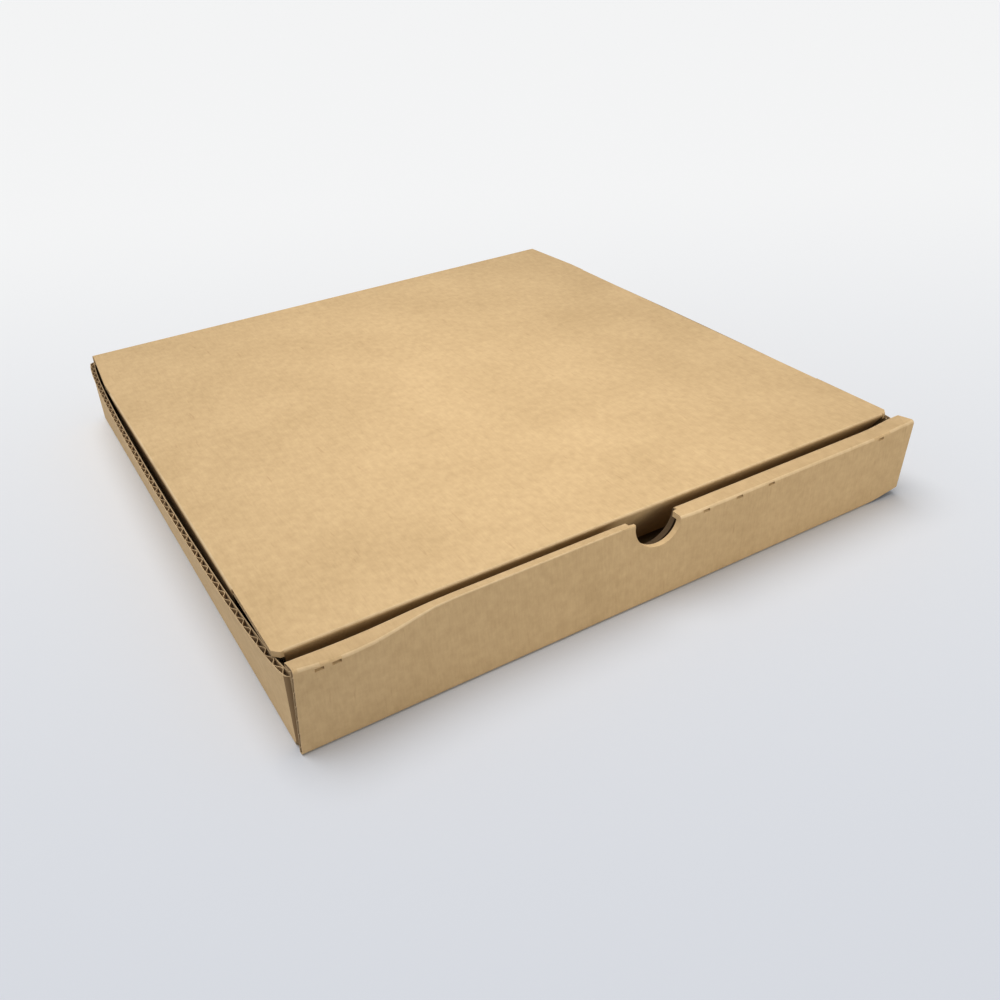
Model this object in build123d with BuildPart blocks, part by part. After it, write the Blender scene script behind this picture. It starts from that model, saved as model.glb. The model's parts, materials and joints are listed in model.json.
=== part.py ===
from build123d import *
from math import atan2, cos, pi, radians, sin, sqrt, tan
import os

# A pizza box folded from one die-cut sheet of corrugated kraft board, shown closed.
# Sizes are in millimetres. The base lies on z = 0 with its middle at the origin, the rolled
# front wall faces -Y, and the lid turns at the scored fold along the top of the back wall.

# The board
board = 2.6               # thickness of the sheet
fold_radius = 1.6         # outer rounding of a scored fold
corner_radius = 2.5       # the same at the upright corners
layer_gap = 0.3           # air between two layers that lie folded on each other

# The tray
base_width = 305.0        # between the side folds
base_depth = 308.0        # from the front face to the back face
front_height = 37.3       # from the table to the top of the rolled front wall
wall_bow = 5.5            # outward bow of a side wall, midway along its top edge
bow_lead = 25.0           # length of board near a corner that the bow takes to swing out
corner_flap_length = 22.0 # side wall's front flap, held inside the rolled front wall
back_flap_length = 60.0   # side wall's rear flap, folded in along the back wall
back_trim = 2.8           # from an end of the back wall to the side wall's outer face
flap_drop = 0.9           # of a corner flap's top edge at its root
flap_slope = 4.0          # the same at its tip
tab_width = 42.0          # lock tab of the roll's inner panel
tab_spacing = 150.0       # between the middles of the two lock tabs
tab_corner = 1.2          # chamfer on a tab's leading corners
slot_clearance = 0.4      # around a lock tab in its slot
tab_recess = 0.3          # from a tab's lower edge up from the table

# The front wall's wear: its left half is pinched and crushed, its outer crease rides up at both
# ends, and its top is racked a little to the right
roll_trim = 0.2           # from an end of the roll to the side wall's outer face, at the foot
roll_rack = 2.0           # of the roll's top to the right, against its foot
left_rise = 2.4           # of the outer crease at the left end
left_length = 20.0
right_rise = 1.5          # of the outer crease at the right end
right_length = 26.0
right_shift = 1.5         # of the inner crease there, to the back
pinch_lead = 42.0         # length of the roll past the corner flap in which the pinch sets in
pinch_setback = 4.4       # of the outer crease where the roll is pinched
pinch_rise = 1.9          # of the outer crease there
pinch_inner_rise = 1.3    # of the inner crease there
pinch_board = 1.8         # thickness of the board crushed there
pinch_radius = 0.8        # outer rounding of the creases there
lead_steps = 5            # sections in each stretch where the roll changes shape
notch_place = 6.5         # middle of the thumb notch, right of the wall's middle
notch_radius = 10.2       # of the notch in the outer panel
notch_sink = 0.8          # its middle below the wall's top edge
notch_fade = 1.6          # length either side in which the pinch fades, in notch radii
inner_notch_radius = 12.5 # of the notch in the inner panel
nick_places = (-141.0, -134.5, 30.0, 48.0, 66.0, 133.0)
nick_length = 3.5         # short cuts along the outer crease
nick_height = 1.4
nick_depth = 1.6
crush_height = 3.4        # crushed lower corner at the right end of the front wall
crush_length = 22.0       # along the front wall
crush_depth = 15.0        # along the side wall

# The lid
lid_rise = 0.9            # lid face above the top of the front wall
lid_rest_gap = 0.6        # between the lid and the tops of the side walls
lid_front_gap = 3.7       # between the rolled front wall and the tuck flap
lid_fold_radius = 1.0     # outer rounding of the lid's own folds
lid_trim = 0.5            # cut edges of the lid lie this far inside its folds
lid_corner = 3.0          # clipped front corners
hinge_gap = 0.2           # between the two mitred halves of the lid fold
hinge_relief_length = 50.0
hinge_relief_width = 3.7  # the lid's sides draw in towards its rear corners
tuck_lean = 30.0          # degrees that the tuck flap leans back
tuck_floor_gap = 7.0      # between the tuck flap and the base
tuck_side_gap = 1.2       # between the tuck flap and a side wall's foot
tuck_taper = 6.0          # each end of the tuck flap, over its length
tuck_corner_radius = 9.0
flap_place = 0.17         # where along the side wall's top edge the lid's side flap ends
flap_clearance = 1.5      # between that end and the wall
flap_spring = 2.0         # degrees that the side flap leans in from the wall
flap_floor_gap = 9.0      # between the side flap and the base
flap_taper = 16.0         # each end of the side flap, over its length
flap_corner_radius = 6.0

half_width = base_width / 2
front = -base_depth / 2
back = base_depth / 2
roll_depth = 3 * board + 2 * layer_gap
roll_back = front + roll_depth
roll_half = half_width - roll_trim
roll_right = half_width + roll_rack
inner_foot = board + layer_gap
lid_height = front_height + lid_rise
side_height = lid_height - board - lid_rest_gap
mitre_shift = hinge_gap / sqrt(2)

# Where the roll is pinched, its two panels lie on each other with nothing between them.
pinch_shift = pinch_setback + 2 * pinch_board + layer_gap - roll_depth
pinch_start = -half_width + corner_flap_length + board
notch_lead = notch_fade * notch_radius

# The roll's section: rise of its outer and inner crease, setback of the outer and shift of the inner
# one, the board's thickness at the creases, and their rounding
plain = (0, 0, 0, 0, board, fold_radius)
left_end = (left_rise, 0, 0, 0, board, fold_radius)
right_end = (right_rise, 0, 0, right_shift, board, fold_radius)
pinched = (pinch_rise, pinch_inner_rise, pinch_setback, pinch_shift, pinch_board, pinch_radius)
roll_runs = (
    (-half_width, left_length, left_end, plain),
    (pinch_start, pinch_lead, plain, pinched),
    (notch_place - notch_lead, 2 * notch_lead, pinched, plain),
    (roll_right - right_length, right_length, plain, right_end),
)

# The side wall stands between its two corner flaps, and its top edge bows out between them.
wall_front = front + board + layer_gap
wall_back = back - board - layer_gap
bow_front = wall_front + board
bow_back = wall_back - board
bow_reach = wall_bow * 4 / 3


def bow_curve(edge_x):
    """Top edge of the left side wall, bowed outwards from edge_x."""
    return Bezier(
        (edge_x, bow_front),
        (edge_x - bow_reach, bow_front + bow_lead),
        (edge_x - bow_reach, bow_back - bow_lead),
        (edge_x, bow_back),
    )


# The lid's side flap hangs just inside the wall, so the lid's width follows from the bow.
flap_front = bow_curve(-half_width) @ flap_place
flap_back = bow_curve(-half_width) @ (1 - flap_place)
flap_middle = (flap_front.Y + flap_back.Y) / 2
flap_half = (flap_back.Y - flap_front.Y) / 2
bow_at_flap = -half_width - flap_front.X
flap_angle = atan2(bow_at_flap, side_height - board) + radians(flap_spring)
lid_under = lid_height - board
lid_half = half_width - board + bow_at_flap - flap_clearance + (lid_height - side_height) * tan(flap_angle)
flap_root = lid_half - board * tan(flap_angle)
flap_length = (lid_under - board - flap_floor_gap) / cos(flap_angle)

# The tuck flap hangs behind the rolled front wall.
lid_front = front + roll_depth + lid_front_gap
tuck_angle = radians(tuck_lean)
tuck_root = lid_front + board * tan(tuck_angle)
tuck_half = half_width - board - tuck_side_gap
tuck_length = (lid_under - board - tuck_floor_gap) / cos(tuck_angle)

# Left side wall: fold along the base, bowed wall, and a corner flap at each end
with BuildPart() as side_wall:
    for face, length in ((wall_front + board, corner_flap_length), (wall_back, back_flap_length)):
        with BuildSketch(Plane.XZ.offset(-face)):
            with BuildLine():
                Polyline(
                    (-half_width, inner_foot),
                    (-half_width + length, inner_foot),
                    (-half_width + length, side_height - flap_slope),
                    (-half_width + board, side_height - flap_drop),
                    (-half_width + board, side_height),
                    (-half_width, side_height),
                    close=True,
                )
            make_face()
        extrude(amount=board)
    corners = side_wall.edges().filter_by(Axis.Z).group_by(Axis.X)[0].sort_by(Axis.Y)
    fillet([corners[0], corners[-1]], corner_radius)

    with BuildSketch(Plane.XZ.offset(-bow_back)) as wall_fold:
        with Locations((-half_width, 0)):
            Rectangle(board, board, align=(Align.MIN, Align.MIN))
        fillet(wall_fold.vertices().group_by(Axis.X)[0].sort_by(Axis.Y)[0], fold_radius)
    extrude(amount=bow_back - bow_front)

    with BuildSketch(Plane.XY.offset(board)):
        with Locations((-half_width, bow_front)):
            Rectangle(board, bow_back - bow_front, align=(Align.MIN, Align.MIN))
    with BuildSketch(Plane.XY.offset(side_height)):
        with BuildLine():
            bow_curve(-half_width)
            bow_curve(-half_width + board)
            Line((-half_width, bow_front), (-half_width + board, bow_front))
            Line((-half_width, bow_back), (-half_width + board, bow_back))
        make_face()
    loft(ruled=True)

# Rolled front wall: outer panel, double-scored top band and inner panel with its lock tabs
with BuildPart() as roll:
    tab_places = [(-tab_spacing / 2, 0), (tab_spacing / 2, 0)]

    for run_start, run_length, before, after in roll_runs:
        for step in range(lead_steps + 1):
            share = (1 - cos(pi * step / lead_steps)) / 2
            state = [a + share * (b - a) for a, b in zip(before, after)]
            rise, inner_rise, setback, shift, crease, bend = state
            top = front_height + rise
            inner_top = front_height + inner_rise
            with BuildSketch(Plane.YZ.offset(run_start + run_length * step / lead_steps)):
                with BuildLine():
                    FilletPolyline(
                        (front, 0),
                        (front + setback, top),
                        (roll_back + shift, inner_top),
                        (roll_back, inner_foot),
                        (roll_back - board, inner_foot),
                        (roll_back + shift - crease, inner_top - crease),
                        (front + setback + crease, top - crease),
                        (front + board, 0),
                        radius=(fold_radius, bend, bend, 0, 0, 0, 0, 0),
                        close=True,
                    )
                make_face()
    loft(ruled=True)

    with BuildSketch(Plane.XZ.offset(-roll_back)) as lock_tabs:
        with Locations((0, tab_recess)):
            with Locations(tab_places):
                Rectangle(tab_width, inner_foot, align=(Align.CENTER, Align.MIN))
        chamfer(lock_tabs.vertices().group_by(Axis.Y)[0], tab_corner)
    extrude(amount=board)

    with BuildSketch(Plane.XY.offset(inner_foot)):
        panel_end = board + layer_gap
        for side in (-1, 1):
            with Locations((side * (half_width - panel_end / 2), wall_front)):
                Rectangle(panel_end, base_depth, align=(Align.CENTER, Align.MIN))
    extrude(amount=side_height + layer_gap - inner_foot, mode=Mode.SUBTRACT)

    with BuildSketch(Plane.XZ.offset(-back)):
        with BuildLine():
            Polyline(
                (-roll_half, 0),
                (-roll_half + 2 * roll_rack, 2 * front_height),
                (-roll_right, 2 * front_height),
                (-roll_right, 0),
                close=True,
            )
        make_face()
        with BuildLine():
            Polyline(
                (roll_half, 0),
                (roll_half + 2 * roll_rack, 2 * front_height),
                (roll_right + 2 * roll_rack, 2 * front_height),
                (roll_right + 2 * roll_rack, 0),
                close=True,
            )
        make_face()
    extrude(amount=base_depth, mode=Mode.SUBTRACT)

    for ring_y, ring_z, ring_radius in (
        (front - board, front_height - notch_sink, notch_radius),
        (roll_back - board - layer_gap, front_height - notch_sink, notch_radius),
        (roll_back - board, front_height - notch_sink, inner_notch_radius),
        (back, front_height - notch_sink, inner_notch_radius),
    ):
        with BuildSketch(Plane.XZ.offset(-ring_y)):
            with Locations((notch_place, ring_z)):
                Circle(ring_radius)
    loft(ruled=True, mode=Mode.SUBTRACT)

    with BuildSketch(Plane.YZ.offset(-nick_length / 2)) as nick:
        with BuildLine():
            Polyline(
                (front - nick_depth, front_height - fold_radius + nick_height),
                (front + nick_depth, front_height - fold_radius),
                (front - nick_depth, front_height - fold_radius - nick_height),
                close=True,
            )
        make_face()
    for place in nick_places:
        extrude(nick.sketch.moved(Location((place, 0, 0))), amount=nick_length, mode=Mode.SUBTRACT)

# Tray: base, rolled front wall, back wall and the two side walls
with BuildPart() as tray:
    with BuildSketch():
        Rectangle(base_width - 2 * board, base_depth - 2 * board)
        with Locations((0, roll_back - board / 2)):
            with Locations(tab_places):
                Rectangle(tab_width + 2 * slot_clearance, board + 2 * slot_clearance, mode=Mode.SUBTRACT)
    extrude(amount=board)

    with BuildSketch(Plane.YZ) as back_section:
        with Locations((back, 0)):
            Rectangle(board, lid_height, align=(Align.MAX, Align.MIN))
        fillet(back_section.vertices().group_by(Axis.X)[-1], fold_radius)
        with BuildLine():
            Polyline(
                (back, lid_height - mitre_shift),
                (back, lid_height),
                (back - board, lid_height),
                (back - board, lid_under - mitre_shift),
                close=True,
            )
        make_face(mode=Mode.SUBTRACT)
    extrude(amount=half_width - back_trim, both=True)

    add(roll.part)
    add(side_wall.part)
    mirror(side_wall.part, about=Plane.YZ)

    crush_corner = Vector(half_width, front, crush_height)
    crush_side = Vector(half_width, front + crush_depth, 0) - crush_corner
    crush_front = Vector(half_width - crush_length, front, 0) - crush_corner
    crush_plane = Plane(origin=crush_corner, x_dir=crush_side, z_dir=crush_front.cross(crush_side))
    with BuildSketch(crush_plane):
        Rectangle(2 * (crush_length + crush_depth), 2 * (crush_length + crush_depth))
    extrude(amount=crush_height, mode=Mode.SUBTRACT)

# Lid: top panel with cut edges, and a rounded fold wherever a flap hangs from it
with BuildPart() as lid:
    with BuildSketch(Plane.YZ) as panel_section:
        with Locations((lid_front + lid_trim, lid_under)):
            Rectangle(back - lid_front - lid_trim, board, align=(Align.MIN, Align.MIN))
        fillet(panel_section.vertices().group_by(Axis.X)[-1].sort_by(Axis.Y)[-1], fold_radius)
        with BuildLine():
            Polyline(
                (back - mitre_shift, lid_height),
                (back, lid_height),
                (back, lid_under),
                (back - board - mitre_shift, lid_under),
                close=True,
            )
        make_face(mode=Mode.SUBTRACT)
    extrude(amount=lid_half - lid_trim, both=True)

    with BuildSketch(Plane.XY.offset(lid_under)):
        with Locations((0, lid_front)):
            Rectangle(2 * tuck_half, board, align=(Align.CENTER, Align.MIN))
        for side in (-1, 1):
            with Locations((side * (lid_half - board / 2), flap_middle)):
                Rectangle(board, 2 * flap_half)
            with BuildLine():
                Polyline(
                    (side * lid_half, back - hinge_relief_length),
                    (side * lid_half, back),
                    (side * (lid_half - hinge_relief_width), back),
                    close=True,
                )
            make_face()
            with BuildLine():
                Polyline(
                    (side * lid_half, lid_front),
                    (side * lid_half, lid_front + lid_trim + lid_corner),
                    (side * (lid_half - lid_trim - lid_corner), lid_front),
                    close=True,
                )
            make_face()
    extrude(amount=board, mode=Mode.SUBTRACT)

    with BuildSketch(Plane.YZ) as tuck_fold:
        with BuildLine():
            Polyline(
                (lid_front, lid_height),
                (lid_front + board, lid_height),
                (lid_front + board, lid_under),
                (tuck_root, lid_under),
                close=True,
            )
        make_face()
        fillet(tuck_fold.vertices().sort_by(Axis.X)[0], lid_fold_radius)
    extrude(amount=tuck_half, both=True)

    tuck_plane = Plane(
        origin=(0, tuck_root, lid_under),
        x_dir=(1, 0, 0),
        z_dir=(0, cos(tuck_angle), sin(tuck_angle)),
    )
    with BuildSketch(tuck_plane) as tuck_flap:
        with BuildLine():
            Polyline(
                (-tuck_half, 0),
                (tuck_half, 0),
                (tuck_half - tuck_taper, tuck_length),
                (-tuck_half + tuck_taper, tuck_length),
                close=True,
            )
        make_face()
        fillet(tuck_flap.vertices().group_by(Axis.Y)[-1], tuck_corner_radius)
    extrude(amount=board)

    for side in (-1, 1):
        with BuildSketch(Plane.XZ.offset(-flap_back.Y)) as flap_fold:
            with BuildLine():
                Polyline(
                    (side * lid_half, lid_height),
                    (side * (lid_half - board), lid_height),
                    (side * (lid_half - board), lid_under),
                    (side * flap_root, lid_under),
                    close=True,
                )
            make_face()
            fillet(flap_fold.vertices().sort_by(Axis.X)[0 if side < 0 else -1], lid_fold_radius)
        extrude(amount=2 * flap_half)

        flap_plane = Plane(
            origin=(side * flap_root, flap_middle, lid_under),
            x_dir=(0, side, 0),
            z_dir=(-side * cos(flap_angle), 0, sin(flap_angle)),
        )
        with BuildSketch(flap_plane) as side_flap:
            with BuildLine():
                Polyline(
                    (-flap_half, 0),
                    (flap_half, 0),
                    (flap_half - flap_taper, flap_length),
                    (-flap_half + flap_taper, flap_length),
                    close=True,
                )
            make_face()
            fillet(side_flap.vertices().group_by(Axis.Y)[-1], flap_corner_radius)
        extrude(amount=board)

os.makedirs("parts", exist_ok=True)
tray.part.label = "tray"
export_step(tray.part, "parts/tray.step")
lid.part.label = "lid"
export_step(lid.part, "parts/lid.step")
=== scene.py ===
"""A closed pizza box of corrugated kraft board, dressed for a soft studio picture."""

import json
import logging
import math
from collections.abc import Iterable
from dataclasses import dataclass
from enum import Enum
from typing import TypeVar

import bmesh
import bpy
from mathutils import Euler, Matrix, Vector


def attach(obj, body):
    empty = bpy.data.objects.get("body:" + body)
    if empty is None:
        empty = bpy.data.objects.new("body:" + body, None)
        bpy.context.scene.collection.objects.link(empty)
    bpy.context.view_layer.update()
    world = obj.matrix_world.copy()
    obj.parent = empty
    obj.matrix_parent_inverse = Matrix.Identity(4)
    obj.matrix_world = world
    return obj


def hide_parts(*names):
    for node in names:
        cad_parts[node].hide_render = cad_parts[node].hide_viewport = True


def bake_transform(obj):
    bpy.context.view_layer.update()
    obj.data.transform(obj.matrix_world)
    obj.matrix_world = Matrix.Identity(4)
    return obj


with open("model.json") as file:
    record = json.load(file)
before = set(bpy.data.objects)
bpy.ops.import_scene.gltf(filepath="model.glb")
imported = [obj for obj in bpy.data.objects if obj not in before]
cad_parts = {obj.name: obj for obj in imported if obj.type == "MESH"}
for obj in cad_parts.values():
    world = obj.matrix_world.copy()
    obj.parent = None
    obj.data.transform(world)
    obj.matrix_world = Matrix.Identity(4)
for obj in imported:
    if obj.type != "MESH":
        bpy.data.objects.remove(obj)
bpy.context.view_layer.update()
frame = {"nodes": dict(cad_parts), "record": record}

MM = 0.001
SHEET_MAP = "sheet"
# face mask of pale folds (scuffing with a painted highlight) and of painted shade
SCUFF_AND_PAINTED_LIGHT_MASK = "fold"
FLUTE_PITCH = 6.4 * MM
MAP_AXES = ((2, 1), (0, 2), (0, 1))  # what U and V follow on faces that look along X, Y and Z

Colour = tuple[float, float, float]
Place = tuple[float, float, float]
Span = tuple[float, float]
Socket = bpy.types.NodeSocket
Element = TypeVar("Element")

log = logging.getLogger("pizza_box")


class Surface(Enum):
    """What a face of the folded sheet shows, in the order of the material slots."""

    LINER = 0
    INNER = 1
    CUT_EDGE = 2
    FLUTES = 3
    MOUTH = 4


def picked(items: Iterable[object], kind: type[Element]) -> list[Element]:
    """The items that are of one kind, in order."""
    return [item for item in items if isinstance(item, kind)]


def new_object(
    name: str, shape: bmesh.types.BMesh, finishes: list[bpy.types.Material]
) -> bpy.types.Object:
    """Turns a mesh into an object of the scene.

    Args:
        name: the object's name.
        shape: its finished mesh, which is freed.
        finishes: its materials, in the order of its faces' numbers.

    Returns:
        The new object.
    """
    mesh = bpy.data.meshes.new(name)
    shape.to_mesh(mesh)
    shape.free()
    for finish in finishes:
        mesh.materials.append(finish)
    made = bpy.data.objects.new(name, mesh)
    bpy.context.scene.collection.objects.link(made)
    return made


def facing_box(place: Place) -> Euler:
    """The turn of a lamp that hangs at a place and faces the box."""
    return Vector(place).to_track_quat("Z", "Y").to_euler()


class NodeLayout:
    """A node tree with short calls for adding and linking nodes."""

    def __init__(self, tree: bpy.types.NodeTree) -> None:
        """Keeps the tree that the calls work on."""
        self.tree = tree

    def add(self, kind: str, **values: object) -> bpy.types.Node:
        """Adds a node and sets it up.

        Args:
            kind: Blender's name of the node's type.
            values: properties of the node, or input values by socket name with spaces as underscores.

        Returns:
            The new node.
        """
        node = self.tree.nodes.new(kind)
        for name, value in values.items():
            if hasattr(node, name):
                setattr(node, name, value)
            else:
                node.inputs[name.replace("_", " ")].default_value = value
        return node

    def link(self, output: Socket, target: Socket) -> None:
        """Joins an output socket to an input socket."""
        self.tree.links.new(output, target)

    def feed(self, socket: Socket, value: Socket | float | Colour) -> None:
        """Gives an input socket its value.

        Args:
            socket: the input socket.
            value: the socket that it follows, or a number or a colour.
        """
        if isinstance(value, Socket):
            self.link(value, socket)
        elif isinstance(value, tuple):
            socket.default_value = (*value, 1.0)
        else:
            socket.default_value = value

    def math(self, operation: str, *values: Socket | float) -> Socket:
        """Adds a Math node.

        Args:
            operation: Blender's name of the operation.
            values: a socket or a number for each input.

        Returns:
            The node's output socket.
        """
        node = self.add("ShaderNodeMath", operation=operation)
        for socket, value in zip(node.inputs, values):
            self.feed(socket, value)
        return node.outputs[0]

    def spread(self, value: Socket, span: Span, way: str = "LINEAR") -> Socket:
        """Adds a Map Range node that takes a span of values to the span from 0 to 1.

        Args:
            value: the socket to map.
            span: the values that become 0 and 1.
            way: Blender's name of the way from one to the other.

        Returns:
            The mapped value's socket.
        """
        node = self.add("ShaderNodeMapRange", interpolation_type=way)
        self.link(value, node.inputs["Value"])
        node.inputs["From Min"].default_value, node.inputs["From Max"].default_value = span
        return node.outputs["Result"]

    def mix(
        self, factor: Socket, first: Socket | Colour, second: Socket | Colour, blend: str = "MIX"
    ) -> Socket:
        """Adds a colour Mix node.

        Args:
            factor: how far to go from the first colour to the second.
            first: a colour or its socket.
            second: a colour or its socket.
            blend: Blender's name of the way of mixing.

        Returns:
            The mixed colour's socket.
        """
        node = self.add("ShaderNodeMix", data_type="RGBA", blend_type=blend)
        self.link(factor, node.inputs["Factor"])
        colours = [socket for socket in node.inputs if socket.type == "RGBA"]
        for socket, value in zip(colours, (first, second)):
            self.feed(socket, value)
        return [socket for socket in node.outputs if socket.type == "RGBA"][0]


@dataclass(frozen=True)
class PaperFibres:
    """Node group of kraft paper: clouds in the pulp, fibres along the sheet, flecks, a faint washboard."""

    name: str = "paper_fibres"
    noise_roughness: float = 0.6
    cloud_scale: float = 24.0
    cloud_detail: float = 3.0
    cloud_share: float = 0.34
    pulp_scale: float = 260.0
    pulp_detail: float = 4.0
    pulp_share: float = 0.42
    pulp_height: float = 0.4
    fibre_scale: float = 1100.0
    fibre_detail: float = 3.0
    fibre_share: float = 0.24
    fibre_height: float = 0.6
    fibre_stretch: float = 0.14
    fleck_scale: float = 520.0
    fleck_detail: float = 2.0
    fleck_span: Span = (0.64, 0.74)
    tone_span: Span = (0.36, 0.64)
    ripple_span: Span = (0.3, 0.7)
    flute_pitch: float = FLUTE_PITCH

    def open_group(self) -> bpy.types.NodeTree:
        """Makes the empty group with its sockets.

        Returns:
            The group, with Sheet, Place and Seed in, and Tone, Fleck, Height and Ripple out.
        """
        tree = bpy.data.node_groups.new(self.name, "ShaderNodeTree")
        for socket in ("Sheet", "Place"):
            tree.interface.new_socket(name=socket, in_out="INPUT", socket_type="NodeSocketVector")
        tree.interface.new_socket(name="Seed", in_out="INPUT", socket_type="NodeSocketFloat")
        for socket in ("Tone", "Fleck", "Height", "Ripple"):
            tree.interface.new_socket(name=socket, in_out="OUTPUT", socket_type="NodeSocketFloat")
        return tree

    def noise(self, nodes: NodeLayout, place: Socket, seed: Socket, scale: float, detail: float) -> Socket:
        """Adds one seeded noise.

        Args:
            nodes: the group's nodes.
            place: the coordinates that it is read at.
            seed: what tells one paper's noise from another's.
            scale: how fine it is.
            detail: how many finer noises lie over it.

        Returns:
            The noise's socket.
        """
        node = nodes.add("ShaderNodeTexNoise", noise_dimensions="4D", Scale=scale, Detail=detail)
        node.inputs["Roughness"].default_value = self.noise_roughness
        nodes.link(place, node.inputs["Vector"])
        nodes.link(seed, node.inputs["W"])
        return node.outputs["Fac"]

    def group(self) -> bpy.types.NodeTree:
        """Builds the group once.

        Returns:
            The node group.
        """
        if self.name in bpy.data.node_groups:
            return bpy.data.node_groups[self.name]
        tree = self.open_group()
        nodes = NodeLayout(tree)
        given = nodes.add("NodeGroupInput").outputs
        made = nodes.add("NodeGroupOutput").inputs
        along = nodes.add("ShaderNodeMapping", Scale=(1.0, self.fibre_stretch, 1.0))
        nodes.link(given["Sheet"], along.inputs["Vector"])
        drawn = along.outputs["Vector"]
        cloud = self.noise(nodes, given["Place"], given["Seed"], self.cloud_scale, self.cloud_detail)
        pulp = self.noise(nodes, given["Place"], given["Seed"], self.pulp_scale, self.pulp_detail)
        fibre = self.noise(nodes, drawn, given["Seed"], self.fibre_scale, self.fibre_detail)
        fleck = self.noise(nodes, drawn, given["Seed"], self.fleck_scale, self.fleck_detail)
        total = nodes.math("MULTIPLY", cloud, self.cloud_share)
        total = nodes.math("MULTIPLY_ADD", pulp, self.pulp_share, total)
        total = nodes.math("MULTIPLY_ADD", fibre, self.fibre_share, total)
        nodes.link(nodes.spread(total, self.tone_span), made["Tone"])
        nodes.link(nodes.spread(fleck, self.fleck_span), made["Fleck"])
        height = nodes.math("MULTIPLY", pulp, self.pulp_height)
        nodes.link(nodes.math("MULTIPLY_ADD", fibre, self.fibre_height, height), made["Height"])
        parts = nodes.add("ShaderNodeSeparateXYZ")
        nodes.link(given["Sheet"], parts.inputs["Vector"])
        wave = nodes.math("SINE", nodes.math("MULTIPLY", parts.outputs["Y"], math.tau / self.flute_pitch))
        nodes.link(nodes.math("MULTIPLY", wave, nodes.spread(cloud, self.ripple_span)), made["Ripple"])
        return tree


@dataclass(frozen=True)
class KraftFinish:
    """Uncoated brownish kraft paper, paler along its level folds by scuffing and a painted highlight, and
    darker along its upright ones and in the roll's hollow as painted shade.
    """

    name: str
    pale: Colour
    deep: Colour
    # paler fold colour: partly scuffing, partly a painted highlight
    scuff_and_highlight: Colour
    # painted shade colour
    painted_shade: Colour
    seed: float
    pale_fold_base: float = 0.3
    pale_fold_swing: float = 0.6
    fleck_colour: Colour = (0.60, 0.50, 0.40)
    fleck_depth: float = 0.30
    roughness: float = 0.84
    roughness_swing: float = 0.10
    gloss: float = 0.22
    fibre_depth: float = 0.05 * MM
    ripple_depth: float = 0.010 * MM

    def paper(self, nodes: NodeLayout) -> bpy.types.NodeOutputs:
        """Places the paper's node group.

        Args:
            nodes: the material's nodes.

        Returns:
            The group's outputs.
        """
        place = nodes.add("ShaderNodeTexCoord")
        sheet = nodes.add("ShaderNodeUVMap", uv_map=SHEET_MAP)
        paper = nodes.add("ShaderNodeGroup", node_tree=PaperFibres().group())
        paper.inputs["Seed"].default_value = self.seed
        nodes.link(place.outputs["Object"], paper.inputs["Place"])
        nodes.link(sheet.outputs["UV"], paper.inputs["Sheet"])
        return paper.outputs

    def colour(self, nodes: NodeLayout, tone: Socket, fleck: Socket) -> Socket:
        """Mixes the paper's colour with its flecks, its pale folds (scuffing with a painted highlight) and
        its painted shade.

        Args:
            nodes: the material's nodes.
            tone: how pale the pulp is.
            fleck: where a fleck lies.

        Returns:
            The colour's socket.
        """
        fold = nodes.add("ShaderNodeAttribute", attribute_name=SCUFF_AND_PAINTED_LIGHT_MASK).outputs["Fac"]
        colour = nodes.mix(tone, self.deep, self.pale)
        patches = nodes.math("MULTIPLY_ADD", tone, self.pale_fold_swing, self.pale_fold_base)
        # pale folds: partly scuffing, partly a painted highlight
        scuff_and_highlight_share = nodes.math("MULTIPLY", nodes.math("MAXIMUM", fold, 0.0), patches)
        colour = nodes.mix(scuff_and_highlight_share, colour, self.scuff_and_highlight)
        # painted shade in upright folds, in the roll's hollow and a little on its top band
        painted_shade_share = nodes.math("MAXIMUM", nodes.math("MULTIPLY", fold, -1.0), 0.0)
        colour = nodes.mix(painted_shade_share, colour, self.painted_shade)
        flecks = nodes.math("MULTIPLY", fleck, self.fleck_depth)
        return nodes.mix(flecks, colour, self.fleck_colour, blend="MULTIPLY")

    def material(self) -> bpy.types.Material:
        """Builds the finish.

        Returns:
            A new material.
        """
        material = bpy.data.materials.new(self.name)
        material.use_nodes = True
        material.node_tree.nodes.clear()
        nodes = NodeLayout(material.node_tree)
        output = nodes.add("ShaderNodeOutputMaterial")
        shader = nodes.add("ShaderNodeBsdfPrincipled")
        shader.inputs["Specular IOR Level"].default_value = self.gloss
        nodes.link(shader.outputs["BSDF"], output.inputs["Surface"])
        paper = self.paper(nodes)
        nodes.link(self.colour(nodes, paper["Tone"], paper["Fleck"]), shader.inputs["Base Color"])
        rough = nodes.math("MULTIPLY_ADD", paper["Tone"], self.roughness_swing, self.roughness)
        nodes.link(rough, shader.inputs["Roughness"])
        ripple = nodes.add("ShaderNodeBump", Strength=1.0, Distance=self.ripple_depth)
        nodes.link(paper["Ripple"], ripple.inputs["Height"])
        fibres = nodes.add("ShaderNodeBump", Strength=1.0, Distance=self.fibre_depth)
        nodes.link(paper["Height"], fibres.inputs["Height"])
        nodes.link(ripple.outputs["Normal"], fibres.inputs["Normal"])
        nodes.link(fibres.outputs["Normal"], shader.inputs["Normal"])
        return material


# Each finish's pale fold colour is partly scuffing and partly a painted highlight; its darkest colour is
# painted shade.
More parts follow.
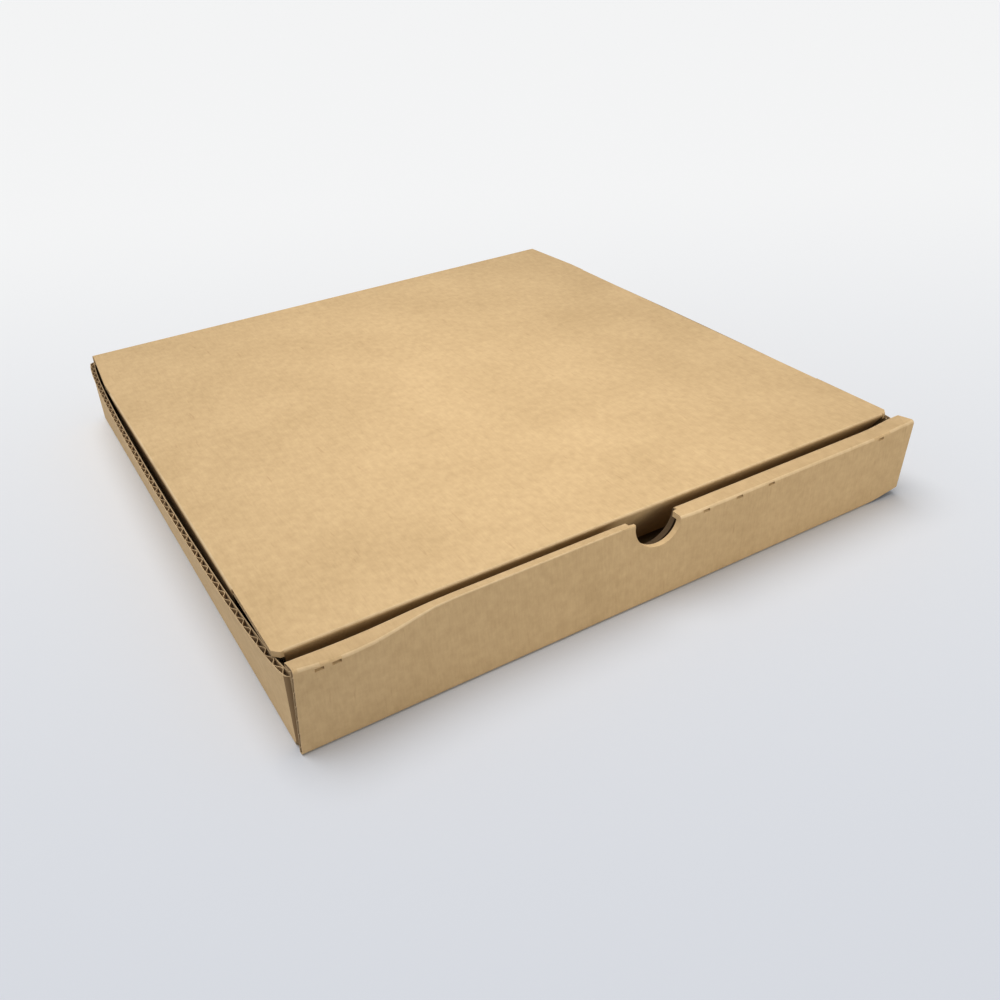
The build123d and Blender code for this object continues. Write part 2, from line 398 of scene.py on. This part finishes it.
FINISHES = {
    Surface.LINER: KraftFinish(
        "kraft_liner",
        pale=(0.548, 0.390, 0.214),
        deep=(0.424, 0.293, 0.150),
        scuff_and_highlight=(0.58, 0.44, 0.268),
        painted_shade=(0.20, 0.125, 0.06),
        seed=1.7,
    ),
    # The inner side is painted darker than the outer liner, as painted shade in the gaps and the roll's
    # hollow where it shows.
    Surface.INNER: KraftFinish(
        "kraft_inner_painted_shade",
        pale=(0.37, 0.255, 0.135),
        deep=(0.28, 0.188, 0.094),
        scuff_and_highlight=(0.39, 0.28, 0.16),
        painted_shade=(0.085, 0.054, 0.028),
        seed=2.9,
    ),
    Surface.CUT_EDGE: KraftFinish(
        "kraft_cut_edge",
        pale=(0.50, 0.365, 0.21),
        deep=(0.36, 0.255, 0.145),
        scuff_and_highlight=(0.50, 0.365, 0.21),
        painted_shade=(0.085, 0.056, 0.03),
        seed=4.1,
    ),
    Surface.FLUTES: KraftFinish(
        "kraft_flutes",
        pale=(0.52, 0.375, 0.215),
        deep=(0.36, 0.25, 0.14),
        scuff_and_highlight=(0.52, 0.375, 0.215),
        painted_shade=(0.20, 0.135, 0.07),
        seed=7.3,
    ),
    # The floors of the flute mouths are painted near black, as painted shade of the deep flute tubes.
    Surface.MOUTH: KraftFinish(
        "flute_mouth_painted_shade",
        pale=(0.15, 0.10, 0.055),
        deep=(0.10, 0.066, 0.036),
        scuff_and_highlight=(0.15, 0.10, 0.055),
        painted_shade=(0.10, 0.066, 0.036),
        seed=9.7,
    ),
}


@dataclass
class FlutedEdge:
    """The wavy middle sheet of the board, seen in a cut edge that opens its flutes."""

    pitch: float = FLUTE_PITCH
    liner: float = 0.32 * MM
    paper: float = 0.24 * MM
    depth: float = 2.2 * MM
    recess: float = 0.06 * MM
    width_slack: float = 0.2
    steps: int = 10

    def crossings(self, outline: list[Vector], along: int, across: int, place: float) -> list[float]:
        """Where a line across the edge meets the edge's outline.

        Args:
            outline: the corners of the cut edge, in order.
            along: axis that the edge runs along.
            across: axis across its width.
            place: where the line lies along the edge.

        Returns:
            The meeting points' places across the edge, in order.
        """
        found = []
        for first, second in zip(outline, outline[1:] + outline[:1]):
            if (first[along] - place) * (second[along] - place) < 0:
                share = (place - first[along]) / (second[along] - first[along])
                found.append(first[across] + share * (second[across] - first[across]))
        return sorted(found)

    def waves(self, outline: list[Vector], normal: Vector, board: float) -> list[list[Vector]]:
        """Lays waves between the liners of one cut edge.

        Args:
            outline: the corners of the cut edge, in order.
            normal: the edge's outward direction.
            board: thickness of the board.

        Returns:
            A line of points for each stretch of the edge that is as wide as the board.
        """
        facing = max(range(3), key=lambda axis: abs(normal[axis]))
        others = [axis for axis in range(3) if axis != facing]
        spans = {axis: max(v[axis] for v in outline) - min(v[axis] for v in outline) for axis in others}
        along = max(others, key=lambda axis: spans[axis])
        across = sum(others) - along
        start = min(v[along] for v in outline)
        lines: dict[int, list[Vector]] = {}
        done: list[list[Vector]] = []
        for step in range(1, int(spans[along] / self.pitch * self.steps)):
            place = start + step * self.pitch / self.steps
            edges = self.crossings(outline, along, across, place)
            held = set()
            for index, (low, high) in enumerate(zip(edges[::2], edges[1::2])):
                if abs(high - low - board) > self.width_slack * board:
                    continue
                swing = (high - low) / 2 - self.liner - self.paper / 2
                point = Vector()
                point[along] = place
                point[across] = (low + high) / 2 + swing * math.sin(math.tau * place / self.pitch)
                level = normal.dot(outline[0]) - normal[along] * point[along]
                point[facing] = (level - normal[across] * point[across]) / normal[facing]
                lines.setdefault(index, []).append(point - normal * self.recess)
                held.add(index)
            for index in [known for known in lines if known not in held]:
                done.append(lines.pop(index))
        return [line for line in done + list(lines.values()) if len(line) > self.steps]

    def ribbon(self, shape: bmesh.types.BMesh, line: list[Vector], normal: Vector) -> None:
        """Adds the wavy sheet along one line.

        Args:
            shape: the mesh that gets the sheet.
            line: the points of its outer edge.
            normal: the outward direction of the cut edge.
        """
        points = [shape.verts.new(point) for point in line]
        edges = [shape.edges.new(pair) for pair in zip(points, points[1:])]
        deep = bmesh.ops.extrude_edge_only(shape, edges=edges)["geom"]
        lower = picked(deep, bmesh.types.BMVert)
        bmesh.ops.translate(shape, verts=lower, vec=normal * (self.recess - self.depth))
        faces = picked(deep, bmesh.types.BMFace)
        bmesh.ops.solidify(shape, geom=faces + edges + points, thickness=self.paper)


@dataclass
class FoldedSheet:
    """The fine mesh that stands for one solid of the folded box."""

    node: str
    board: float = 2.6 * MM
    weld: float = 0.01 * MM
    flat_angle: float = math.radians(0.5)
    sharp_angle: float = math.radians(40.0)
    square_angle: float = math.radians(60.0)
    square_share: float = 0.85
    edge_tolerance: float = 0.25 * MM
    end_length: float = 10.4 * MM
    end_facing: float = 0.9
    half_facing: float = 0.5
    fold_width: float = 1.1 * MM
    fold_length: float = 3.6 * MM
    fold_lean: float = 0.25
    upright_lean: float = 0.7
    middle_height: float = 20.0 * MM
    roll_back: float = -145.3 * MM
    roll_inner: float = -148.4 * MM
    roll_half: float = 151.0 * MM
    roll_top: float = 36.5 * MM
    band_facing: float = 0.93
    # how much painted shade darkens the roll's top band
    band_painted_shade: float = -0.16

    def strip_width(self, face: bmesh.types.BMFace) -> float:
        """Width of a long face, worked out from its area and its outline's length."""
        half = face.calc_perimeter() / 2
        return (half - math.sqrt(max(0.0, half * half - 4 * face.calc_area()))) / 2

    def is_cut(self, face: bmesh.types.BMFace) -> bool:
        """Tells whether a face is a cut edge.

        Args:
            face: a face of the sheet.

        Returns:
            True if it is as wide as the board, with square corners all round.
        """
        if abs(self.strip_width(face) - self.board) > self.edge_tolerance:
            return False
        square = sum(e.calc_length() for e in face.edges if e.calc_face_angle(0.0) > self.square_angle)
        return square > self.square_share * face.calc_perimeter()

    def opens_flutes(self, face: bmesh.types.BMFace) -> bool:
        """Tells whether a cut edge runs across the flutes, which lie along X in the flat sheet."""
        spans = [max(v.co[a] for v in face.verts) - min(v.co[a] for v in face.verts) for a in range(3)]
        return spans[1] > self.end_length > spans[0] or abs(face.normal.x) > self.end_facing

    def in_roll(self, place: Vector) -> bool:
        """Tells whether a place lies in the rolled front wall."""
        return place.y < self.roll_back and abs(place.x) < self.roll_half

    def in_hollow(self, face: bmesh.types.BMFace) -> bool:
        """Tells whether a face looks into the rolled front wall from its inner panel.

        Args:
            face: a face of the sheet.

        Returns:
            True if it is the inner panel's and looks into the roll's hollow or its notch.
        """
        place = face.calc_center_median()
        inner = place.y > self.roll_inner and place.z < self.roll_top
        return self.in_roll(place) and inner and face.normal.y < self.half_facing

    def side(self, face: bmesh.types.BMFace) -> Surface:
        """Tells which side of the sheet a face lies on.

        Args:
            face: a face of the sheet.

        Returns:
            INNER where it looks into the box or into the rolled front wall, else LINER.
        """
        place = face.calc_center_median()
        if self.in_roll(place):
            outer = place.y < self.roll_inner
            inside = self.in_hollow(face) or outer and face.normal.y > self.half_facing
        else:
            inward = Vector((0.0, 0.0, self.middle_height)) - place
            low = place.z < self.middle_height
            inside = inward.dot(face.normal) > 0 and (low or face.normal.z < self.half_facing)
        return Surface.INNER if inside else Surface.LINER

    def scuff_and_painted_light(self, face: bmesh.types.BMFace) -> float:
        """Tells how a face is marked by scuffing and by painted light.

        Args:
            face: a face of the sheet.

        Returns:
            1 for a facet round a level fold, made pale by scuffing and a painted highlight; -1 round an
            upright one or in the roll's hollow, painted shade; a little below 0 for the roll's top band, a
            touch of painted shade; else 0.
        """
        # painted shade in the roll's hollow
        if self.in_hollow(face):
            return -1.0
        place = face.calc_center_median()
        # the roll's top band gets a touch of painted shade
        if self.in_roll(place) and place.z > self.roll_top and face.normal.z > self.band_facing:
            return self.band_painted_shade
        longest = max(face.edges, key=lambda edge: edge.calc_length())
        if self.strip_width(face) > self.fold_width or longest.calc_length() < self.fold_length:
            return 0.0
        if sorted(abs(part) for part in face.normal)[1] < self.fold_lean:
            return 0.0
        # level folds turn pale, partly scuffing and partly a painted highlight; upright folds get painted
        # shade
        way = (longest.verts[0].co - longest.verts[1].co).normalized()
        return -1.0 if abs(way.z) > self.upright_lean else 1.0

    def lay_map(self, shape: bmesh.types.BMesh) -> None:
        """Lays the sheet map, with U along the flutes and V across them.

        Args:
            shape: the mesh that gets the map.
        """
        layer = shape.loops.layers.uv.new(SHEET_MAP)
        for face in shape.faces:
            facing = max(range(3), key=lambda axis: abs(face.normal[axis]))
            along, across = MAP_AXES[facing]
            for loop in face.loops:
                loop[layer].uv = (loop.vert.co[along], loop.vert.co[across])

    def finish(
        self, shape: bmesh.types.BMesh, name: str, finishes: list[bpy.types.Material]
    ) -> bpy.types.Object:
        """Turns a mesh into a piece that rides on the node's body.

        Args:
            shape: the finished mesh, which is freed.
            name: the piece's name.
            finishes: the materials, in the order of Surface.

        Returns:
            The new piece.
        """
        for face in shape.faces:
            face.smooth = True
        for edge in shape.edges:
            edge.smooth = edge.calc_face_angle(math.pi) < self.sharp_angle
        self.lay_map(shape)
        piece = new_object(name, shape, finishes)
        normals = piece.modifiers.new("even_shading", "WEIGHTED_NORMAL")
        normals.keep_sharp = True
        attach(piece, self.node)
        return piece

    def open_edges(
        self, shape: bmesh.types.BMesh, cuts: list[bmesh.types.BMFace], flutes: FlutedEdge
    ) -> bmesh.types.BMesh:
        """Opens the cut edges that run across the flutes.

        Args:
            shape: the sheet's mesh.
            cuts: its cut edges.
            flutes: the wavy middle sheet.

        Returns:
            The wavy sheets in the opened edges, as a mesh of their own.
        """
        mouths = [face for face in cuts if self.opens_flutes(face)]
        medium = bmesh.new()
        for face in mouths:
            normal = face.normal.copy()
            for line in flutes.waves([vert.co.copy() for vert in face.verts], normal, self.board):
                flutes.ribbon(medium, line, normal)
        bmesh.ops.inset_individual(shape, faces=mouths, thickness=flutes.liner, use_even_offset=True)
        sunk = bmesh.ops.inset_individual(shape, faces=mouths, thickness=0.0, depth=-flutes.depth)
        for face in (*sunk["faces"], *medium.faces):
            face.material_index = Surface.FLUTES.value
        # the sunk floors take the near-black finish, painted shade of the deep flute tubes
        for face in mouths:
            face.material_index = Surface.MOUTH.value
        return medium

    def build(self, finishes: list[bpy.types.Material], flutes: FlutedEdge) -> list[bpy.types.Object]:
        """Copies the solid's mesh, opens the flutes in its cut edges and dresses it.

        Args:
            finishes: the materials, in the order of Surface.
            flutes: the wavy middle sheet.

        Returns:
            The sheet and its flutes.
        """
        shape = bmesh.new()
        shape.from_mesh(frame["nodes"][self.node].data)
        bmesh.ops.remove_doubles(shape, verts=shape.verts, dist=self.weld)
        bmesh.ops.dissolve_limit(shape, angle_limit=self.flat_angle, verts=shape.verts, edges=shape.edges)
        # mask of pale folds (scuffing with a painted highlight) and of painted shade
        fold = shape.faces.layers.float.new(SCUFF_AND_PAINTED_LIGHT_MASK)
        cuts = [face for face in shape.faces if self.is_cut(face)]
        for face in shape.faces:
            face[fold] = self.scuff_and_painted_light(face)
            # faces that look inward take the darker inner finish, painted shade
            face.material_index = self.side(face).value
        for face in cuts:
            face.material_index = Surface.CUT_EDGE.value
        medium = self.open_edges(shape, cuts, flutes)
        bmesh.ops.triangulate(shape, faces=shape.faces)
        sheet = self.finish(shape, f"dressed_{self.node}", finishes)
        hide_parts(self.node)
        return [sheet, self.finish(medium, f"{self.node}_flutes", finishes)]


@dataclass
class HingeLiner:
    """The outer liner that runs on from the back wall to the lid round their fold."""

    name: str = "hinge_liner"
    fold_radius: float = 1.6 * MM
    sink: float = 0.08 * MM
    tail: float = 3.0 * MM
    half_width: float = 148.9 * MM
    paper: float = 0.3 * MM
    steps: int = 10

    def run_on(self, shape: bmesh.types.BMesh, edge: bmesh.types.BMEdge, way: Place) -> None:
        """Runs the strip on from one of its edges.

        Args:
            shape: the strip's mesh.
            edge: the edge that it runs on from.
            way: how far it goes.
        """
        moved = bmesh.ops.extrude_edge_only(shape, edges=[edge])["geom"]
        bmesh.ops.translate(shape, verts=picked(moved, bmesh.types.BMVert), vec=way)

    def strip(self, axis: Vector) -> bmesh.types.BMesh:
        """Makes the strip: a quarter turn round the fold, with a flat tail at both ends.

        Args:
            axis: a point on the lid's axis.

        Returns:
            The strip's mesh.
        """
        middle = axis - Vector((0.0, self.fold_radius, self.fold_radius))
        reach = self.fold_radius - self.sink
        shape = bmesh.new()
        places = [middle + Vector((x, reach, 0.0)) for x in (-self.half_width, self.half_width)]
        ends = [shape.verts.new(place) for place in places]
        rim = shape.edges.new(ends)
        turned = bmesh.ops.spin(
            shape,
            geom=[*ends, rim],
            cent=middle,
            axis=(1.0, 0.0, 0.0),
            angle=math.pi / 2,
            steps=self.steps,
        )["geom_last"]
        self.run_on(shape, rim, (0.0, 0.0, -self.tail))
        self.run_on(shape, picked(turned, bmesh.types.BMEdge)[0], (0.0, -self.tail, 0.0))
        bmesh.ops.recalc_face_normals(shape, faces=shape.faces)
        everything = [*shape.verts, *shape.edges, *shape.faces]
        bmesh.ops.solidify(shape, geom=everything, thickness=self.paper)
        return shape

    def build(self, finish: bpy.types.Material) -> bpy.types.Object:
        """Builds the strip at the lid's hinge.

        Args:
            finish: its material.

        Returns:
            The new piece.
        """
        axis = Vector(frame["record"]["behaviour"]["joints"][0]["pos_m"])
        shape = self.strip(axis)
        layer = shape.loops.layers.uv.new(SHEET_MAP)
        for face in shape.faces:
            face.smooth = True
            for loop in face.loops:
                loop[layer].uv = (loop.vert.co.x, loop.vert.co.z)
        piece = new_object(self.name, shape, [finish])
        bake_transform(piece)
        return piece


@dataclass(frozen=True)
class SoftLamp:
    """A flat soft lamp that faces the box, out of the picture."""

    name: str
    place: Place
    power: float
    colour: Colour
    width: float
    length: float

    def hang(self, spared: bpy.types.Collection) -> bpy.types.Object:
        """Hangs the lamp.

        Args:
            spared: what the lamp leaves unlit.

        Returns:
            The lamp.
        """
        light = bpy.data.lights.new(self.name, "AREA")
        light.shape = "RECTANGLE"
        light.size = self.width
        light.size_y = self.length
        light.energy = self.power
        light.color = self.colour
        lamp = bpy.data.objects.new(self.name, light)
        lamp.location = self.place
        lamp.rotation_euler = facing_box(self.place)
        lamp.visible_camera = False
        lamp.light_linking.receiver_collection = spared
        bpy.context.scene.collection.objects.link(lamp)
        return lamp


LAMPS = (
    SoftLamp(
        "top",
        place=(0.0, -0.02, 0.26),
        power=0.375,
        colour=(1.0, 0.99, 0.97),
        width=0.08,
        length=0.44,
    ),
    SoftLamp(
        "fill",
        place=(0.60, -1.00, 0.34),
        power=1.95,
        colour=(1.0, 0.91, 0.74),
        width=0.3,
        length=0.3,
    ),
    SoftLamp(
        "front",
        place=(0.07, -0.40, 0.11),
        power=0.20,
        colour=(1.0, 0.92, 0.76),
        width=0.2,
        length=0.2,
    ),
    SoftLamp(
        "left",
        place=(-1.20, -0.10, 0.45),
        power=3.4,
        colour=(1.0, 0.97, 0.92),
        width=0.4,
        length=0.4,
    ),
)


@dataclass
class Studio:
    """Pale floor and backdrop, soft lamps and the camera."""

    floor_side: float = 24.0
    floor_shade: Colour = (0.65, 0.69, 0.775)
    floor_pale: Colour = (0.94, 0.96, 0.99)
    shade_span: Span = (-0.6, 0.5)
    floor_roughness: float = 0.9
    floor_gloss: float = 0.1
    sky_colour: Colour = (1.0, 0.985, 0.96)
    sky_strength: float = 0.40
    backdrop_colour: Colour = (0.89, 0.90, 0.92)
    key_place: Place = (-0.12, 0.28, 1.0)
    key_strength: float = 1.86
    key_spread: float = math.radians(50.0)
    lamps: tuple[SoftLamp, ...] = LAMPS
    azimuth: float = math.radians(-28.360)
    elevation: float = math.radians(33.115)
    roll: float = math.radians(-3.172)
    distance: float = 434.4 * MM
    target: Place = (-38.14 * MM, -69.35 * MM, 20.0 * MM)
    focal_share: float = 0.9589
    sensor: float = 36.0
    shift: float = 0.04
    near_limit: float = 10.0 * MM

    def floor_paint(self) -> bpy.types.Material:
        """Builds the floor's finish, a little greyer in front of the box than behind it, as painted shade.

        Returns:
            A new material.
        """
        material = bpy.data.materials.new("floor_paint")
        material.use_nodes = True
        nodes = NodeLayout(material.node_tree)
        shader = material.node_tree.nodes["Principled BSDF"]
        place = nodes.add("ShaderNodeTexCoord")
        turned = nodes.add("ShaderNodeMapping", Rotation=(0.0, 0.0, -self.azimuth))
        nodes.link(place.outputs["Object"], turned.inputs["Vector"])
        parts = nodes.add("ShaderNodeSeparateXYZ")
        nodes.link(turned.outputs["Vector"], parts.inputs["Vector"])
        away = nodes.spread(parts.outputs["Y"], self.shade_span, way="SMOOTHSTEP")
        nodes.link(nodes.mix(away, self.floor_shade, self.floor_pale), shader.inputs["Base Color"])
        shader.inputs["Roughness"].default_value = self.floor_roughness
        shader.inputs["Specular IOR Level"].default_value = self.floor_gloss
        return material

    def floor(self) -> bpy.types.Object:
        """Lays the floor.

        Returns:
            The floor.
        """
        shape = bmesh.new()
        bmesh.ops.create_grid(shape, x_segments=1, y_segments=1, size=self.floor_side / 2)
        floor = new_object("floor", shape, [self.floor_paint()])
        return floor

    def sky(self) -> None:
        """Sets the sky, with a pale backdrop where the picture shows it."""
        world = bpy.data.worlds.new("studio")
        world.use_nodes = True
        nodes = NodeLayout(world.node_tree)
        sky = world.node_tree.nodes["Background"]
        sky.inputs["Color"].default_value = (*self.sky_colour, 1.0)
        sky.inputs["Strength"].default_value = self.sky_strength
        backdrop = nodes.add("ShaderNodeBackground", Color=(*self.backdrop_colour, 1.0))
        seen = nodes.add("ShaderNodeMixShader")
        rays = nodes.add("ShaderNodeLightPath")
        nodes.link(rays.outputs["Is Camera Ray"], seen.inputs["Fac"])
        nodes.link(sky.outputs["Background"], seen.inputs[1])
        nodes.link(backdrop.outputs["Background"], seen.inputs[2])
        nodes.link(seen.outputs["Shader"], world.node_tree.nodes["World Output"].inputs["Surface"])
        bpy.context.scene.world = world

    def light(self, floor: bpy.types.Object) -> None:
        """Hangs the key light, and the soft lamps, which light the box and not the floor.

        Args:
            floor: the floor.
        """
        key = bpy.data.lights.new("key", "SUN")
        key.angle = self.key_spread
        key.energy = self.key_strength
        key.color = self.sky_colour
        sun = bpy.data.objects.new("key", key)
        sun.rotation_euler = facing_box(self.key_place)
        bpy.context.scene.collection.objects.link(sun)
        spared = bpy.data.collections.new("spared_floor")
        spared.objects.link(floor)
        spared.collection_objects[0].light_linking.link_state = "EXCLUDE"
        for lamp in self.lamps:
            lamp.hang(spared)
        bpy.context.scene.view_settings.view_transform = "Standard"

    def camera(self) -> bpy.types.Object:
        """Sets up the camera at the picture's viewing angle.

        Returns:
            The camera.
        """
        turn, rise, roll = self.azimuth, self.elevation, self.roll
        back = Vector((math.sin(turn) * math.cos(rise), -math.cos(turn) * math.cos(rise), math.sin(rise)))
        level = Vector((0.0, 0.0, 1.0)).cross(back).normalized()
        upright = back.cross(level)
        right = math.cos(roll) * level + math.sin(roll) * upright
        above = math.cos(roll) * upright - math.sin(roll) * level
        data = bpy.data.cameras.new("camera")
        data.sensor_width = self.sensor
        data.lens = self.sensor * self.focal_share
        data.shift_x = self.shift
        data.clip_start = self.near_limit
        camera = bpy.data.objects.new("camera", data)
        place = Vector(self.target) + back * self.distance
        camera.matrix_world = Matrix.Translation(place) @ Matrix((right, above, back)).transposed().to_4x4()
        bpy.context.scene.collection.objects.link(camera)
        bpy.context.scene.camera = camera
        return camera


def main() -> None:
    """Builds the box and the studio in order, and logs each piece's face count."""
    logging.basicConfig(level=logging.INFO, format="%(message)s")
    finishes = [FINISHES[surface].material() for surface in Surface]
    pieces: list[bpy.types.Object] = []
    for node in frame["nodes"]:
        pieces += FoldedSheet(node).build(finishes, FlutedEdge())
    pieces.append(HingeLiner().build(finishes[Surface.LINER.value]))
    for piece in pieces:
        log.info("%s: %d faces", piece.name, len(piece.data.polygons))
    studio = Studio()
    studio.sky()
    studio.light(studio.floor())
    studio.camera()


if __name__ == "__main__":
    main()
